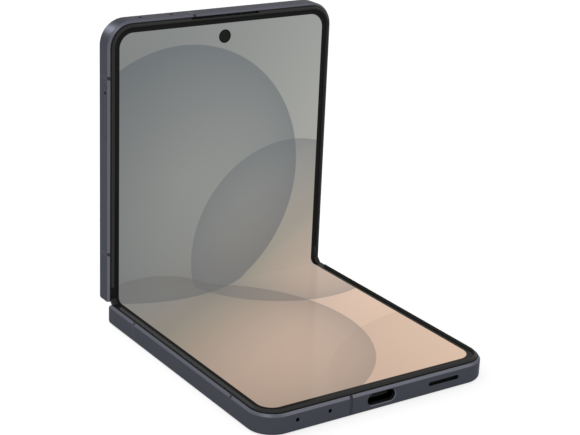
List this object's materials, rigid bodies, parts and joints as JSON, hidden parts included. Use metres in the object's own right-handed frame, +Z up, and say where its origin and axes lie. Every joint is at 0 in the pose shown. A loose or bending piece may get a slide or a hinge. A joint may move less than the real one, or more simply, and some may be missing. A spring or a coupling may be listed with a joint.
{
  "type": "foldable smartphone",
  "caption": "Foldable smartphone standing open at a right angle, with a two-axis spine hinge, flexible inner display, side keys, card tray, charging port and rear cameras.",
  "frame": {"origin": "middle of the lower half's back glass, on the surface that the phone rests on", "axes": "+X towards the phone's right side, along the hinge axes; -Y from the fold along the lower half; +Z up"},
  "size_m": [0.0756, 0.091, 0.0897],
  "materials": {
    "frame_metal": "anodised, satin, slate blue-grey with a brighter bevel",
    "key_metal": "anodised, satin",
    "back_glass": "matt frosted, opaque slate",
    "cover_glass": "polished, opaque black behind",
    "soft_rim": "matt, soft",
    "screen": "gloss film, black border, soft picture behind it",
    "cover_panel": "gloss black",
    "battery_foil": "foil pouch",
    "circuit_board": "solder mask",
    "shell_steel": "drawn sheet",
    "dark_plastic": "moulded",
    "mesh_steel": "blackened mesh",
    "antenna_plastic": "moulded, dyed close to the frame",
    "hinge_steel": "ground",
    "screw_steel": "plated",
    "camera_black": "black, baffled",
    "lens_glass": "coated, dark",
    "flash_diffuser": "clear, ribbed",
    "coil_copper": "wound flat wire",
    "contact_brass": "plated"
  },
  "bodies": {
    "lower_half": {"lower_frame": "frame_metal", "lower_back_glass": "back_glass", "lower_rim": "soft_rim", "lower_display": "screen", "lower_battery": "battery_foil", "charging_coil": "coil_copper", "sub_board": "circuit_board", "lower_microphones": "shell_steel", "charging_port": "shell_steel", "port_tongue": "dark_plastic", "loudspeaker": "dark_plastic", "speaker_mesh": "mesh_steel", "vibration_motor": "shell_steel", "lower_antenna_breaks": "antenna_plastic", "lower_hinge_arms": "hinge_steel", "lower_wing_plate": "hinge_steel", "lower_screws": "screw_steel"},
    "spine": {"spine_cover": "frame_metal", "spine_end_caps": "soft_rim", "hinge_bases": "hinge_steel", "hinge_screws": "screw_steel", "display_fold": "screen"},
    "upper_half": {"upper_frame": "frame_metal", "cover_glass": "cover_glass", "cover_display": "cover_panel", "upper_rim": "soft_rim", "upper_display": "screen", "main_board": "circuit_board", "board_shields": "shell_steel", "upper_battery": "battery_foil", "upper_microphones": "shell_steel", "camera_modules": "camera_black", "camera_optics": "lens_glass", "camera_rings": "frame_metal", "camera_lenses": "lens_glass", "flash_lens": "flash_diffuser", "front_camera": "camera_black", "earpiece": "dark_plastic", "sim_reader": "shell_steel", "upper_antenna_breaks": "antenna_plastic", "upper_hinge_arms": "hinge_steel", "upper_wing_plate": "hinge_steel", "upper_screws": "screw_steel", "key_switches": "contact_brass"},
    "power_key": {"power_key": "key_metal"},
    "volume_key": {"volume_key": "key_metal"},
    "sim_tray": {"sim_tray": "key_metal", "tray_seal": "soft_rim"}
  },
  "joints": [
    {"name": "lower_fold", "type": "hinge", "parent": "lower_half", "child": "spine", "pos_m": [0, 0.0409, 0.00602], "axis": [1, 0, 0], "range_deg": [-45, 45], "deforming": ["display_fold"]},
    {"name": "upper_fold", "type": "hinge", "parent": "spine", "child": "upper_half", "pos_m": [0, 0.04207, 0.00719], "axis": [1, 0, 0], "range_deg": [-45, 45]},
    {"name": "power_key_press", "type": "slide", "parent": "upper_half", "child": "power_key", "axis": [-1, 0, 0], "range_m": [0, 0.00025], "stiffness_N_per_m": 4000, "springref_m": -0.00003},
    {"name": "volume_key_press", "type": "slide", "parent": "upper_half", "child": "volume_key", "axis": [-1, 0, 0], "range_m": [0, 0.00025], "stiffness_N_per_m": 4000, "springref_m": -0.00003},
    {"name": "sim_tray_slide", "type": "slide", "parent": "upper_half", "child": "sim_tray", "axis": [-1, 0, 0], "range_m": [0, 0.018]}
  ],
  "couplings": [
    {"joint": "upper_fold", "follows": "lower_fold", "ratio": 1}
  ]
}
